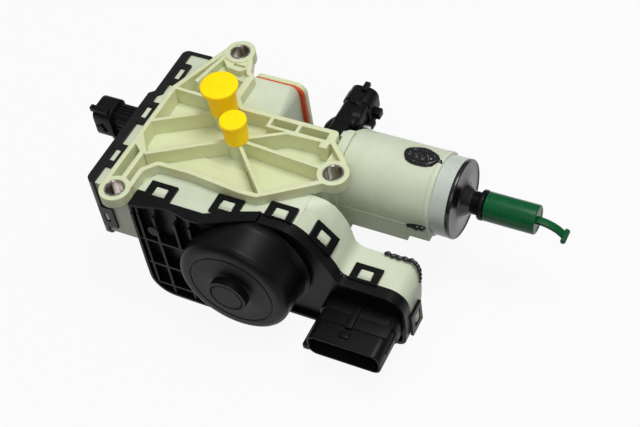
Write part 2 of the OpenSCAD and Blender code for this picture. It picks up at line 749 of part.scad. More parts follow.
module sealant_beads() {
    color(black) {
        // Oval patch on top of the shell
        intersection() {
            ring_x(filter_y, filter_z, filter_r + 1, filter_r + 0.02, 24, 45);
            translate([0, 0, -12]) hull() {
                translate([31, 28.4, 0]) cylinder(r = 5.6, h = 12);
                translate([38, 28.6, 0]) cylinder(r = 5.6, h = 12);
            }
        }
        // Row of beads at the shell's lower edge
        for (p = [[37.4, -31.2], [39.8, -30.6], [42.2, -29.6], [44.2, -28.4]])
            translate([p[0], 3.5, p[1]]) sphere(r = 1.5, $fn = 16);
        // Row of beads along the bracket's rear edge
        for (x = [30 : 2.4 : 42]) translate([x, -12.6, -35.42]) sphere(r = 1.55, $fn = 16);
    }
}

module motor_can() {
    back = -12.2;
    color(steel) difference() {
        along_y(motor_x, motor_z, can_r, can_front, back);
        along_y(motor_x, motor_z, can_r - 1.6, can_front + 8.4, back - 8.4);
        ring_y(motor_x, motor_z, can_r - 1.6, 9, can_front + 2, can_front + 9);
        ring_y(motor_x, motor_z, can_r - 1.6, 9, back - 9, back - 2);
        for (y = [can_front + 2, back - 9]) along_y(motor_x, motor_z, 7.05, y, y + 7);
        along_y(motor_x, motor_z, shaft_r + 1, can_front - 1, back + 1);
    }
}

module motor_bearings() {
    color(steel) for (y = [can_front + 3, -20])
        ring_y(motor_x, motor_z, 7, shaft_r + 0.03, y, y + 5);
}

module motor_stator() {
    color([0.35, 0.35, 0.37]) ring_y(motor_x, motor_z, can_r - 1.9, 16.3, can_front + 11, -24);
}

module motor_rotor() {
    color(copper) {
        along_y(motor_x, motor_z, 15.6, can_front + 12, -25);
        along_y(motor_x, motor_z, 8, can_front + 9.6, can_front + 12.1);
        along_y(motor_x, motor_z, shaft_r, can_front + 1, rod_y + 5);
    }
}

module vibration_ring() {
    color(rubber) ring_y(motor_x, motor_z, cup_r - 3.9, can_r + gap, can_front + 4, joint_y - 6);
}

module eccentric_cam() {
    color(steel) difference() {
        along_y(motor_x - throw, motor_z, cam_r, rod_y - 3.3, rod_y + 3.3);
        along_y(motor_x, motor_z, shaft_r + 0.03, rod_y - 5, rod_y + 5);
    }
}

module connecting_rod() {
    color([0.7, 0.7, 0.7]) difference() {
        union() {
            along_y(motor_x, motor_z, 11.4, rod_y - 3, rod_y + 3);
            box3([-59.9, rod_y - 2.6, motor_z - 3], [motor_x - 9, rod_y + 2.6, motor_z + 3]);
        }
        along_y(motor_x, motor_z, eye_r, rod_y - 4, rod_y + 4);
    }
}

module diaphragm() {
    color(rubber) {
        along_x(rod_y, motor_z, 12.6, -67, -64.6);
        along_x(rod_y, motor_z, 5, -65, -59.9);
    }
}

module pump_head() {
    color([0.3, 0.3, 0.32]) difference() {
        box3([-92.3, -10.8, motor_z - 17], [-69.8, 17.8, motor_z + 17]);
        along_x(rod_y, motor_z, 10, -72.5, -69);
        for (y = [rod_y - 5, rod_y + 5]) along_x(y, motor_z, 2.2, -86, -72);
    }
}

module valve_block() {
    p = valve_axis;
    color([0.3, 0.3, 0.32]) difference() {
        box3([p[0] - 14, 29, foot_z + 6], [p[0] + 14, 50, valve_floor]);
        along_z(p, plunger_r - 1.6, valve_floor - 8, valve_floor + 1);
        along_y(p[0], valve_floor - 6, 2.2, 28, 51);
    }
}

module valve_yoke() {
    p = valve_axis;
    color(steel) difference() {
        union() {
            box3([p[0] - 8, 29, valve_floor], [p[0] + 8, 50.6, valve_floor + 1.6]);
            box3([p[0] - 8, 29, -29.6], [p[0] + 8, 50.6, -28]);
            box3([p[0] - 8, 29, valve_floor], [p[0] + 8, 30, -28]);
        }
        along_z(p, plunger_r + 0.2, valve_floor - 1, valve_floor + 2);
    }
}

module valve_coil() {
    color(copper) ring_z(valve_axis, coil_r, plunger_r + 0.2, valve_floor + 1.6, -36);
}

module valve_plunger() {
    color(steel) along_z(valve_axis, plunger_r, valve_floor + eps, -36.4);
}

module valve_spring() {
    color([0.75, 0.75, 0.76]) ring_z(valve_axis, plunger_r - 0.6, plunger_r - 1.6, -36.4, -29.6);
}

module circuit_board() {
    color([0.05, 0.35, 0.15]) {
        box3([-112, -36, -38.6], [-110.4, 46, -17]);
        box3([-110.5, -20, -34], [-108, -8, -22]);
        box3([-110.5, 5, -34], [-107, 17, -22]);
        for (y = [24, 31]) along_x(y, -28, 2.6, -110.5, -101);
    }
}

mounting_frame();
mount_sleeves();
pump_housing();
side_cover();
side_connector();
side_terminals();
front_cover();
main_connector();
main_terminals();
rear_cover();
rear_seal();
pressure_sensor();
sensor_terminals();
sensor_clip();
filter_housing();
filter_liner();
filter_end_cap();
filter_element();
filter_heater();
filter_o_ring();
inlet_nozzle();
inlet_cap();
large_port_cap();
small_port_cap();
sealant_beads();
motor_can();
motor_stator();
motor_rotor();
motor_bearings();
vibration_ring();
eccentric_cam();
connecting_rod();
diaphragm();
pump_head();
valve_block();
valve_coil();
valve_yoke();
valve_plunger();
valve_spring();
circuit_board();
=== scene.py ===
"""Looks of a diesel exhaust fluid pump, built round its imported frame. Pieces in mm, the room in metres."""
import json
import math
from collections import namedtuple

import bmesh
import bpy
from mathutils import Matrix, Vector


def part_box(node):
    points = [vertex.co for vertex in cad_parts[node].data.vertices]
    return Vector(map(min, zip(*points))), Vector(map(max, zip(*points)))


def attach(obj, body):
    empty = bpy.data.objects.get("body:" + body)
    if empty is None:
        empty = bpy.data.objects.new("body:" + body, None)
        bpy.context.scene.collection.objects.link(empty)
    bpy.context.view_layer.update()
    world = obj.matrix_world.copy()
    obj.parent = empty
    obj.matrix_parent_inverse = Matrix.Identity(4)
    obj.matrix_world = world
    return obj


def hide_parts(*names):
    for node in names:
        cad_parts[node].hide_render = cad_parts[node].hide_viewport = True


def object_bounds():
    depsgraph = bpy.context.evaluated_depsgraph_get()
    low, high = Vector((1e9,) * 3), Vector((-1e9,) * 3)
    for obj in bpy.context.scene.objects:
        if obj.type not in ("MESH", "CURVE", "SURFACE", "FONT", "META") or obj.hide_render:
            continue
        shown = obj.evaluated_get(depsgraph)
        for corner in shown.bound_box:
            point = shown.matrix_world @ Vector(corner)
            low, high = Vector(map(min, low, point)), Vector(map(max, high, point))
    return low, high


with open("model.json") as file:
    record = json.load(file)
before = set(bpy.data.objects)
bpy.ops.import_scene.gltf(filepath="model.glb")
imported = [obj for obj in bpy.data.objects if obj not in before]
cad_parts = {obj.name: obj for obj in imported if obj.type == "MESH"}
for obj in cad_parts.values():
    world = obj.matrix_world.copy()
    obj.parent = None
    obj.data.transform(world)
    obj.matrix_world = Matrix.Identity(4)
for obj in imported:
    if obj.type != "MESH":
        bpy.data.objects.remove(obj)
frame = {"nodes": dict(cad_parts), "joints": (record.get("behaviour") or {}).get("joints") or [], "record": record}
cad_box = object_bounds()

MM = 0.001


# Shader building


class Wire:
    """A shader socket that can be used in Python sums."""

    def __init__(self, shade, socket):
        self.shade = shade
        self.socket = socket

    def __add__(self, other):
        return self.shade.maths("ADD", self, other)

    __radd__ = __add__

    def __sub__(self, other):
        return self.shade.maths("SUBTRACT", self, other)

    def __rsub__(self, other):
        return self.shade.maths("SUBTRACT", other, self)

    def __mul__(self, other):
        return self.shade.maths("MULTIPLY", self, other)

    __rmul__ = __mul__


class Shade:
    """A material or world under construction, and the nodes that feed it."""

    def __init__(self, owner, coordinates="Object"):
        self.owner = owner
        owner.use_nodes = True
        self.nodes = owner.node_tree.nodes
        self.links = owner.node_tree.links
        self.nodes.clear()
        self.place = self.node("ShaderNodeTexCoord", out=coordinates)

    def set_input(self, node, name, value):
        if isinstance(value, Wire):
            self.links.new(value.socket, node.inputs[name])
        else:
            node.inputs[name].default_value = value

    def node(self, kind, settings=None, out=0, **sockets):
        """Adds a node with its settings and its sockets' values or wires, and returns one output."""
        made = self.nodes.new(kind)
        for key, value in (settings or {}).items():
            setattr(made, key, value)
        for key, value in sockets.items():
            self.set_input(made, key.replace("_", " "), value)
        return Wire(self, made.outputs[out]) if made.outputs else None

    def maths(self, operation, first, second):
        made = self.nodes.new("ShaderNodeMath")
        made.operation = operation
        self.set_input(made, 0, first)
        self.set_input(made, 1, second)
        return Wire(self, made.outputs[0])

    def ramp(self, value, low, high):
        """0 below low and 1 above high, with a straight run between."""
        return self.node("ShaderNodeMapRange", Value=value, From_Min=low, From_Max=high)

    def noise(self, scale, detail, stretch=None):
        """Noise with its features about 1/scale metres apart."""
        place = self.place
        if stretch:
            place = self.node("ShaderNodeMapping", Vector=place, Scale=stretch)
        return self.node("ShaderNodeTexNoise", Vector=place, Scale=scale, Detail=detail)

    def mix(self, factor, first, second):
        """The first colour where the factor is 0, and the second where it is 1."""
        made = self.nodes.new("ShaderNodeMix")
        made.data_type = "RGBA"
        self.set_input(made, 0, factor)
        self.set_input(made, 6, first)
        self.set_input(made, 7, second)
        return Wire(self, made.outputs[2])

    def bump(self, height, distance, edge):
        """Surface relief of a depth in mm, over edges that are softened by a radius in mm."""
        soft = self.node("ShaderNodeBevel", {"samples": 6}, Radius=edge * MM)
        return self.node("ShaderNodeBump", Strength=1.0, Distance=distance * MM, Height=height, Normal=soft)

    def finish(self, **sockets):
        surface = self.node("ShaderNodeBsdfPrincipled", **sockets)
        self.node("ShaderNodeOutputMaterial", Surface=surface)
        return self.owner


def material(name):
    return Shade(bpy.data.materials.new(name))


def rgb(red, green, blue):
    """A colour as seen on a screen, 0 to 255, as linear light."""

    def linear(value):
        value /= 255
        return value / 12.92 if value <= 0.04045 else ((value + 0.055) / 1.055) ** 2.4

    return (linear(red), linear(green), linear(blue), 1.0)


def scaled(colour, times):
    """A lighter or darker colour, with no channel past 1."""
    return tuple(min(1, channel * times) for channel in colour[:3]) + (1,)


# How far red, green and blue light soak into plastic, times a depth in metres.
SOAKED_LIGHT = (1.0, 0.55, 0.08)
SOAK_DEPTH = 0.006
# Squeezes noise along Z, so that it comes out as long streaks.
STREAK_STRETCH = (1, 1, 0.06)


def moulded(name, colour, shade_colour, roughness, edge, grain=0.03, level=0.45, glow=0.0, painted_glow=(0, 0, 0)):
    """Moulded plastic: colour drift, flow clouds, satin grain, light that soaks through thin walls, and an
    optional painted glow that lights the part from inside.
    """
    shade = material(name)
    drift = shade.noise(scale=38, detail=3)
    clouds = shade.noise(scale=140, detail=4)
    fine = shade.noise(scale=2600, detail=2)
    tone = shade.ramp(drift * 0.7 + clouds * 0.3, low=0.36, high=0.66)
    satin = shade.ramp(clouds * 0.6 + fine * 0.4, low=0.1, high=0.9)
    return shade.finish(
        Base_Color=shade.mix(tone, shade_colour, colour),
        Roughness=satin * 0.16 + (roughness - 0.08),
        Normal=shade.bump(fine, grain, edge),
        Specular_IOR_Level=level,
        Subsurface_Weight=glow,
        Subsurface_Radius=SOAKED_LIGHT,
        Subsurface_Scale=SOAK_DEPTH,
        # Painted glow: emission that makes the part light itself, as if light soaked through it.
        Emission_Color=(*painted_glow, 1),
        Emission_Strength=1.0 if any(painted_glow) else 0.0,
    )


def black_moulded(name, colour, roughness=0.4, edge=0.45, grain=0.02, level=0.2):
    """Black filled plastic: satin skin with dusty patches and fine grain."""
    shade = material(name)
    dust = shade.ramp(shade.noise(scale=60, detail=4), low=0.45, high=0.8)
    fine = shade.noise(scale=3200, detail=2)
    streak = shade.noise(scale=300, detail=3)
    return shade.finish(
        Base_Color=shade.mix(dust * 0.5, colour, scaled(colour, 1.5)),
        Roughness=roughness + dust * 0.1 + streak * 0.08 - 0.04,
        Normal=shade.bump(fine, grain, edge),
        Specular_IOR_Level=level,
    )


def drawn_steel(name, colour, roughness=0.28, edge=0.2, dark=0.55):
    """Rolled metal with streaks that run along Z."""
    shade = material(name)
    streaks = shade.noise(scale=900, detail=3, stretch=STREAK_STRETCH)
    spots = shade.noise(scale=500, detail=3)
    bright = shade.ramp(streaks, low=0.4, high=0.6)
    return shade.finish(
        Base_Color=shade.mix(bright, scaled(colour, dark), colour),
        Metallic=1.0,
        Roughness=roughness + spots * 0.18,
        Normal=shade.bump(streaks, distance=0.02, edge=edge),
    )


def soft_rubber(name, colour, roughness=0.7):
    """Matt rubber or fibre with a coarse grain."""
    shade = material(name)
    fine = shade.noise(scale=1800, detail=3)
    return shade.finish(
        Base_Color=shade.mix(fine, scaled(colour, 0.75), colour),
        Roughness=roughness + fine * 0.1,
        Normal=shade.bump(fine, distance=0.03, edge=0.3),
    )


CREAM, CREAM_SHADE = rgb(221, 226, 190), rgb(212, 217, 172)
HOUSING_CREAM, HOUSING_SHADE = rgb(212, 219, 196), rgb(199, 208, 182)
LINER_WHITE, LINER_SHADE = rgb(196, 205, 196), rgb(184, 194, 184)
YELLOW, YELLOW_SHADE = rgb(255, 225, 0), rgb(255, 217, 0)
# Painted glow: a little emitted light of the caps' own, standing in for light that soaks through the yellow caps
# from all sides.
YELLOW_PAINTED_GLOW = (0.17, 0.06, 0)
GREEN, GREEN_SHADE = rgb(4, 94, 50), rgb(0, 76, 38)
BOARD_GREEN, BOARD_SHADE = rgb(10, 90, 45), rgb(8, 80, 40)

FINISHES = {
    "frame_plastic": moulded("frame_plastic", CREAM, CREAM_SHADE, roughness=0.4, edge=0.55, glow=0.3),
    "housing_plastic": moulded("housing_plastic", HOUSING_CREAM, HOUSING_SHADE, roughness=0.42, edge=0.5),
    "liner_plastic": moulded("liner_plastic", LINER_WHITE, LINER_SHADE, roughness=0.3, edge=0.5),
    "cover_black": black_moulded("cover_black", (0.0048, 0.0048, 0.0051, 1), roughness=0.34, level=0.12),
    "side_black": black_moulded("side_black", (0.008, 0.008, 0.0084, 1), roughness=0.36, level=0.26),
    "cap_black": black_moulded(
        "cap_black", (0.008, 0.008, 0.0085, 1), roughness=0.16, grain=0.003, level=0.45
    ),
    "cap_yellow": moulded(
        "cap_yellow", YELLOW, YELLOW_SHADE, roughness=0.45, edge=0.3, grain=0.02, level=0.2, glow=0.5,
        painted_glow=YELLOW_PAINTED_GLOW
    ),
    "cap_green": moulded(
        "cap_green", GREEN, GREEN_SHADE, roughness=0.27, edge=0.3, grain=0.02, level=0.22
    ),
    "seal_orange": soft_rubber("seal_orange", rgb(222, 76, 28), roughness=0.5),
    "sealant_black": black_moulded(
        "sealant_black", (0.006, 0.006, 0.0065, 1), roughness=0.12, grain=0.01, level=0.5
    ),
    "rubber_black": soft_rubber("rubber_black", (0.012, 0.012, 0.012, 1)),
    "sleeve_steel": drawn_steel("sleeve_steel", rgb(214, 203, 194), roughness=0.14, edge=0.1, dark=0.4),
    "motor_steel": drawn_steel("motor_steel", rgb(190, 190, 190)),
    "clip_steel": drawn_steel("clip_steel", rgb(225, 225, 220), roughness=0.2),
    "contact_brass": drawn_steel("contact_brass", rgb(225, 190, 110), roughness=0.25),
    "winding_copper": drawn_steel("winding_copper", rgb(200, 120, 70), roughness=0.3),
    "head_plastic": black_moulded("head_plastic", (0.05, 0.05, 0.055, 1), roughness=0.5),
    "board_green": moulded("board_green", BOARD_GREEN, BOARD_SHADE, roughness=0.3, edge=0.2, grain=0.01),
    "filter_media": soft_rubber("filter_media", rgb(235, 235, 225), roughness=0.85),
}


def paint_frame():
    """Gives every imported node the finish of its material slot."""
    for part in frame["record"]["subparts"]:
        node = frame["nodes"][part["node"]]
        node.data.materials.clear()
        node.data.materials.append(FINISHES[part["material_slot"]])


# Shaping tools. Lengths are in mm, in the frame's own directions.


TURN = {"X": (0, math.pi / 2, 0), "Y": (-math.pi / 2, 0, 0), "Z": (0, 0, 0)}
RUN = {"X": Vector((1, 0, 0)), "Y": Vector((0, 1, 0)), "Z": Vector((0, 0, 1))}
PICK_MODES = {"faces": "FACE", "edges": "EDGE", "verts": "VERT"}
# Directions whose product is over this run the same way.
ALONG = 0.99
# The smallest radius that a round piece closes to.
THINNEST = 0.001
# Points nearer than these are joined, on new pieces and on copies of CAD nodes.
WELD = 0.01
CAD_WELD = 0.005
# Angles in degrees: triangles of a CAD node are joined below the first, and look smooth below the second.
CAD_FLAT = 0.5
CAD_SMOOTH = 38


def at(x, y, z):
    return Vector((x, y, z)) * MM


def in_mm(place):
    """A place from the record, which is in metres."""
    return tuple(round(length / MM, 3) for length in place)


def near(value, target, reach=0.1):
    return abs(value - target) < reach


def middle_and_way(item):
    """The middle, in mm, of a face, edge or corner, with its normal or an edge's own direction."""
    if isinstance(item, bmesh.types.BMEdge):
        start, end = (vert.co / MM for vert in item.verts)
        return (start + end) / 2, (end - start).normalized()
    middle = item.calc_center_median() if isinstance(item, bmesh.types.BMFace) else item.co
    return middle / MM, item.normal


def pick(piece, test, kind="faces"):
    """Selects the faces, edges or corners whose middle, in mm, and direction pass the test."""
    bpy.ops.mesh.select_all(action="DESELECT")
    bpy.ops.mesh.select_mode(type=PICK_MODES[kind])
    shape = bmesh.from_edit_mesh(piece.data)
    for item in getattr(shape, kind):
        if test(*middle_and_way(item)):
            item.select_set(True)
    bpy.ops.mesh.select_mode(type=PICK_MODES[kind])
    bmesh.update_edit_mesh(piece.data)


def select_only(piece):
    bpy.ops.object.select_all(action="DESELECT")
    bpy.context.view_layer.objects.active = piece
    piece.select_set(True)


def shape_on(piece):
    """Goes into edit mode on one piece, with all of it selected."""
    select_only(piece)
    bpy.ops.object.mode_set(mode="EDIT")
    bpy.ops.mesh.select_mode(type="VERT")
    bpy.ops.mesh.select_all(action="SELECT")


def started(name):
    """Names the new primitive, puts its place into its mesh, and goes into edit mode on it."""
    piece = bpy.context.object
    piece.name = name
    bpy.ops.object.transform_apply(location=True, rotation=True, scale=True)
    shape_on(piece)
    return piece


def welded():
    """Selects all of the piece in edit mode and joins its points that meet."""
    bpy.ops.mesh.select_all(action="SELECT")
    bpy.ops.mesh.remove_doubles(threshold=WELD * MM)


def facing_out():
    """Turns all faces of the piece in edit mode outwards."""
    bpy.ops.mesh.select_all(action="SELECT")
    bpy.ops.mesh.normals_make_consistent(inside=False)


def round_edges(width, steps=3, sharp=30):
    """Rounds every edge of the piece in edit mode that is sharper than an angle in degrees."""
    bpy.ops.mesh.select_mode(type="EDGE")
    bpy.ops.mesh.select_all(action="DESELECT")
    bpy.ops.mesh.edges_select_sharp(sharpness=math.radians(sharp))
    bpy.ops.mesh.bevel(offset=width * MM, segments=steps, affect="EDGES", clamp_overlap=True)


def round_picked(piece, test, radius, steps, clamp=True):
    """Rounds the edges whose middle, in mm, and direction pass the test."""
    pick(piece, test, "edges")
    bpy.ops.mesh.bevel(offset=radius * MM, segments=steps, affect="EDGES", clamp_overlap=clamp)


def round_along(piece, axis, radius):
    """Rounds the four edges of a block that run along an axis."""
    round_picked(piece, lambda middle, along: abs(along.dot(RUN[axis])) > ALONG, radius, steps=7)


def hollow(piece, axis, end, wall, depth):
    """Opens one end face of a piece into a mouth with a wall round it. Its depth is negative at a low end."""
    run = RUN[axis]
    side = math.copysign(1, depth)
    pick(piece, lambda middle, facing: facing.dot(run) * side > ALONG and near(middle.dot(run), end, 0.05))
    bpy.ops.mesh.inset(thickness=wall * MM)
    bpy.ops.mesh.extrude_region_move(TRANSFORM_OT_translate={"value": -run * depth * MM})


def finished(piece, slot, body="base", smooth=35, replaces=(), finish=None):
    """Leaves edit mode with outward normals, and gives the piece its finish, body and shading."""
    if piece.mode == "EDIT":
        welded()
        facing_out()
        bpy.ops.object.mode_set(mode="OBJECT")
    bpy.ops.object.shade_smooth_by_angle(angle=math.radians(smooth))
    piece.data.materials.clear()
    piece.data.materials.append(FINISHES[finish or slot])
    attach(piece, body)
    if replaces:
        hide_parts(*replaces)
    return piece


def copied(piece, name, move, slot, finish=None, turn=0, about=(0, 0, 0)):
    """A copy of a finished piece, with a mesh of its own, moved by a step in mm and turned round Y."""
    select_only(piece)
    bpy.ops.object.duplicate(linked=False)
    copy = bpy.context.object
    copy.name = name
    shape_on(copy)
    bpy.ops.transform.translate(value=at(*move))
    if turn:
        bpy.ops.transform.rotate(value=-math.radians(turn), orient_axis="Y", center_override=at(*about))
    return finished(copy, slot, finish=finish)


def copied_row(piece, count, step, slot):
    """Copies a piece whose name ends in 1 into a row of count, each a step in mm further than the last."""
    stem = piece.name.rstrip("1")
    for number in range(1, count):
        copied(piece, f"{stem}{number + 1}", tuple(length * number for length in step), slot)


def turned(name, axis, centre, profile, sides=72, closed=True):
    """A round piece: a circle pushed along its axis through the profile's (radius, distance) steps."""
    bpy.ops.object.select_all(action="DESELECT")
    run = RUN[axis]
    radius, distance = profile[0]
    middle = at(*centre) + run * distance * MM
    bpy.ops.mesh.primitive_circle_add(
        vertices=sides, radius=radius * MM, location=middle, rotation=TURN[axis]
    )
    piece = started(name)
    if closed:
        bpy.ops.mesh.edge_face_add()
    for wide, far in profile[1:]:
        step = run * (far - distance) * MM
        bpy.ops.mesh.extrude_edges_move(TRANSFORM_OT_translate={"value": step})
        middle = middle + step
        wide = max(wide, THINNEST)
        grow = wide / radius
        bpy.ops.transform.resize(value=(grow, grow, grow), center_override=middle)
        radius, distance = wide, far
    if closed:
        bpy.ops.mesh.edge_face_add()
    return piece


def block(name, low, high, edge=0.6, steps=3):
    """A moulded block between two corners, with round edges."""
    bpy.ops.object.select_all(action="DESELECT")
    low, high = at(*low), at(*high)
    bpy.ops.mesh.primitive_cube_add(size=1, location=(low + high) / 2, scale=high - low)
    piece = started(name)
    if edge:
        bpy.ops.mesh.bevel(offset=edge * MM, segments=steps, affect="EDGES")
    return piece


def drawn(name, plane, level, outline, depth, edge, steps=3):
    """A piece whose outline is drawn point by point in a plane, filled, pushed to its depth and rounded."""
    first, second = (RUN[letter] for letter in plane)
    across = RUN[(set("XYZ") - set(plane)).pop()]
    points = [(first * a + second * b + across * level) * MM for a, b in outline]
    bpy.ops.object.select_all(action="DESELECT")
    bpy.ops.mesh.primitive_plane_add(size=MM, location=points[0])
    piece = started(name)
    bpy.ops.mesh.merge(type="CENTER")
    for here, after in zip(points, points[1:]):
        bpy.ops.mesh.extrude_vertices_move(TRANSFORM_OT_translate={"value": after - here})
    bpy.ops.mesh.select_all(action="SELECT")
    bpy.ops.mesh.edge_face_add()
    bpy.ops.mesh.extrude_region_move(TRANSFORM_OT_translate={"value": across * depth * MM})
    facing_out()
    round_edges(edge, steps)
    return piece


def arc(radius_middle, distance_middle, radius, start, end, steps=5):
    """Profile steps round an arc, from start to end in degrees. 0 is outwards and 90 is along the axis."""
    angles = [math.radians(start + (end - start) * i / steps) for i in range(steps + 1)]
    return [(radius_middle + radius * math.cos(a), distance_middle + radius * math.sin(a)) for a in angles]


def bend(middle, wide, high, angles):
    """Outline points round an oval, at angles in radians."""
    return [(middle[0] + wide * math.cos(a), middle[1] + high * math.sin(a)) for a in angles]


def merged(name, node):
    """A copy of a CAD node in edit mode, with its loose triangles joined into whole faces."""
    piece = bpy.data.objects.new(name, frame["nodes"][node].data.copy())
    bpy.context.scene.collection.objects.link(piece)
    select_only(piece)
    bpy.ops.mesh.customdata_custom_splitnormals_clear()
    shape_on(piece)
    bpy.ops.mesh.remove_doubles(threshold=CAD_WELD * MM)
    bpy.ops.mesh.dissolve_limited(angle_limit=math.radians(CAD_FLAT))
    return piece


def merged_finish(name, node, slot, finish=None):
    return finished(merged(name, node), slot, smooth=CAD_SMOOTH, replaces=[node], finish=finish)


def cut_with(piece, cutter):
    """Takes the cutter's shape away from the piece, and the cutter with it."""
    bpy.ops.object.mode_set(mode="OBJECT")
    select_only(piece)
    cut = piece.modifiers.new("cut", "BOOLEAN")
    cut.operation = "DIFFERENCE"
    cut.object = cutter
    bpy.ops.object.modifier_apply(modifier=cut.name)
    bpy.data.objects.remove(cutter)
    shape_on(piece)


# Places from the frame's record, and the sizes that several pieces share.


MOUNTS = {mount["name"]: mount for mount in frame["record"]["mounts"]}
JOINTS = {joint["name"]: joint for joint in frame["joints"]}
MOTOR_AXIS = in_mm(JOINTS["motor_spin"]["pos_m"])
NOZZLE_END, FILTER_Y, FILTER_Z = in_mm(MOUNTS["filter_nozzle"]["pos_m"])
NOZZLE_RADIUS = MOUNTS["filter_nozzle"]["dims"]["r_mm"]
FILTER_AXIS = (0, FILTER_Y, FILTER_Z)
SHELL_RADIUS = 21.7
HOUSING_TOP = -6.2
TAB_LENGTH = 8.4

Tab = namedtuple("Tab", "x z turn end")

# The front cover's snap tabs: x and z of the surface, its turn round Y in degrees, and y of the tab's end.
FRONT_TABS = (
    Tab(-78.7, HOUSING_TOP, 0, -31.4),
    Tab(-42.7, HOUSING_TOP, 0, -27.7),
    Tab(-15.4, HOUSING_TOP, 0, -23),
    Tab(4.85, -18.1, 48, -21),
    Tab(26.6, -36.98, 0, -22.2),
    Tab(50.05, -61, 90, -20.6),
)


# Housing and its covers


def collar_cutter():
    """A piece of ring that covers the rear top of the filter's collar, to cut it back there."""
    inner, outer, left, right = 21.8, 26, -9.4, -2.7
    front_y, lowest_z = 32.6, -24
    ring = [(inner, left), (outer, left), (outer, right), (inner, right), (inner, left)]
    cutter = turned("collar_cutter", "X", FILTER_AXIS, ring, sides=96, closed=False)
    welded()
    for corner, facing in ((at(0, front_y, 0), (0, 1, 0)), (at(0, 0, lowest_z), (0, 0, 1))):
        bpy.ops.mesh.select_all(action="SELECT")
        bpy.ops.mesh.bisect(plane_co=corner, plane_no=facing, use_fill=True, clear_inner=True)
    facing_out()
    return cutter


def slope_shoulder(piece):
    """Lets the shoulder's top fall gently to its corners, from a line across it."""
    start_x, corner_x, reach = -12, -6.6, 0.3
    pick(piece, lambda middle, facing: facing.z > ALONG and near(middle.z, HOUSING_TOP))
    bpy.ops.mesh.bisect(plane_co=at(start_x, 0, 0), plane_no=(1, 0, 0))
    for corner_y, drop in ((15.6, 0.2), (-31, 1.8)):
        corner = Vector((corner_x, corner_y, HOUSING_TOP))
        pick(piece, lambda middle, facing: (middle - corner).length < reach, "verts")
        bpy.ops.transform.translate(value=at(0, 0, -drop))


def lower_lugs(piece):
    """Takes down the housing's plain lugs, so that ramped ones can stand in their place."""
    height, left, half_length, reach = 1.2, 0.1, 1.7, 0.6
    for tab in FRONT_TABS:
        turn = math.radians(tab.turn)
        out = Vector((math.sin(turn), 0, math.cos(turn)))
        top = Vector((tab.x, tab.end - TAB_LENGTH + half_length, tab.z)) + out * height
        pick(piece, lambda middle, facing: facing.dot(out) > ALONG and (middle - top).length < reach)
        bpy.ops.transform.translate(value=-out * (height - left) * MM)


def shape_housing():
    """The cream housing, with its rear chamber's edge rounded and the filter's collar ending in a rib."""
    chamber_x, flare_y = -46, -20
    collar_radius, collar_left, collar_right = 23.6, -9, -3
    piece = merged("housing", "pump_housing")
    bpy.ops.object.mode_set(mode="OBJECT")
    cut_with(piece, collar_cutter())

    def on_chamber_edge(middle, along):
        return abs(along.y) > ALONG and near(middle.x, chamber_x) and near(middle.z, HOUSING_TOP)

    def on_flare(middle, along):
        in_reach = -16 < middle.x < 14 and middle.z > -34
        return in_reach and abs(along.y) < 0.3 and near(middle.y, flare_y, 0.2)

    def on_collar(middle, along):
        in_reach = near(middle.x, collar_left, 0.05) or near(middle.x, collar_right, 0.05)
        out = math.hypot(middle.y - FILTER_Y, middle.z - FILTER_Z)
        return in_reach and near(out, collar_radius, 0.2) and middle.z > -20

    round_picked(piece, on_chamber_edge, radius=5, steps=7, clamp=False)
    slope_shoulder(piece)
    round_picked(piece, on_flare, radius=2.2, steps=4)
    round_picked(piece, on_collar, radius=1.3, steps=4)
    lower_lugs(piece)
    finished(piece, "housing_plastic", smooth=CAD_SMOOTH, replaces=["pump_housing"])


def shape_lugs():
    """The lugs that hold the front cover's tabs, each with a ramp to the front and a steep back."""
    first = FRONT_TABS[0]
    width, height, sunk = 6.6, 1.35, 0.4
    back = first.end - 2.9
    outline = [(first.end - TAB_LENGTH, first.z - sunk), (first.end - 6.3, first.z + height - 0.05)]
    outline += [(back, first.z + height), (back, first.z - sunk)]
    lug = drawn("lug_1", "YZ", first.x - width / 2, outline, width, edge=0.4)
    finished(lug, "housing_plastic")
    for number, tab in enumerate(FRONT_TABS[1:], 2):
        move = (tab.x - first.x, tab.end - first.end, tab.z - first.z)
        copied(lug, f"lug_{number}", move, "housing_plastic", turn=tab.turn, about=(tab.x, 0, tab.z))


def shape_rear_cover():
    """The cream rear cover with its bulge, and the orange seal that shows between it and the housing."""
    left, right, foot, corner = -97, -43, -68, 6
    quarter = (1.57, 1.2, 0.8, 0.4, 0)
    outline = [(left, foot), (left, -12.2), (-72.4, -12.2), (-72.4, -8.6), (-70.4, -6.5)]
    outline += bend((right - corner, -12.5), corner, corner, quarter)
    outline += [(right, foot)]
    outline += bend((right - corner, foot), corner, -corner, quarter[3::-1])
    outline += bend((left + corner, foot), corner, -corner, [math.pi / 2 + a for a in quarter[:0:-1]])
    flange = drawn("rear_flange", "XZ", 54, outline, 2.8, edge=0.7, steps=4)
    finished(flange, "frame_plastic", replaces=["rear_cover"])
    bulge = block("rear_bulge", (-75, 55.5, -64), (-52, 61, -14), edge=0)
    round_along(bulge, "Y", 7)
    round_edges(1.6, steps=5, sharp=50)
    finished(bulge, "frame_plastic")
    rib = finished(block("rear_rib_1", (-69.9, 59, -58), (-68.1, 62.2, -20)), "frame_plastic")
    copied_row(rib, 3, (5.5, 0, 0), "frame_plastic")
    band = [(-96.4, -67), (-96.4, -12.6), (-71.8, -12.6), (-71.8, -7.0), (-49.0, -6.7)]
    band += bend((-49.2, -12.3), 5.6, 5.6, quarter[1:])
    band += [(-43.6, -67), (-49, -73.2), (-91, -73.2)]
    seal = drawn("orange_seal", "XZ", 52.3, band, 1.8, edge=0.3)
    finished(seal, "seal_orange", replaces=["rear_seal"])


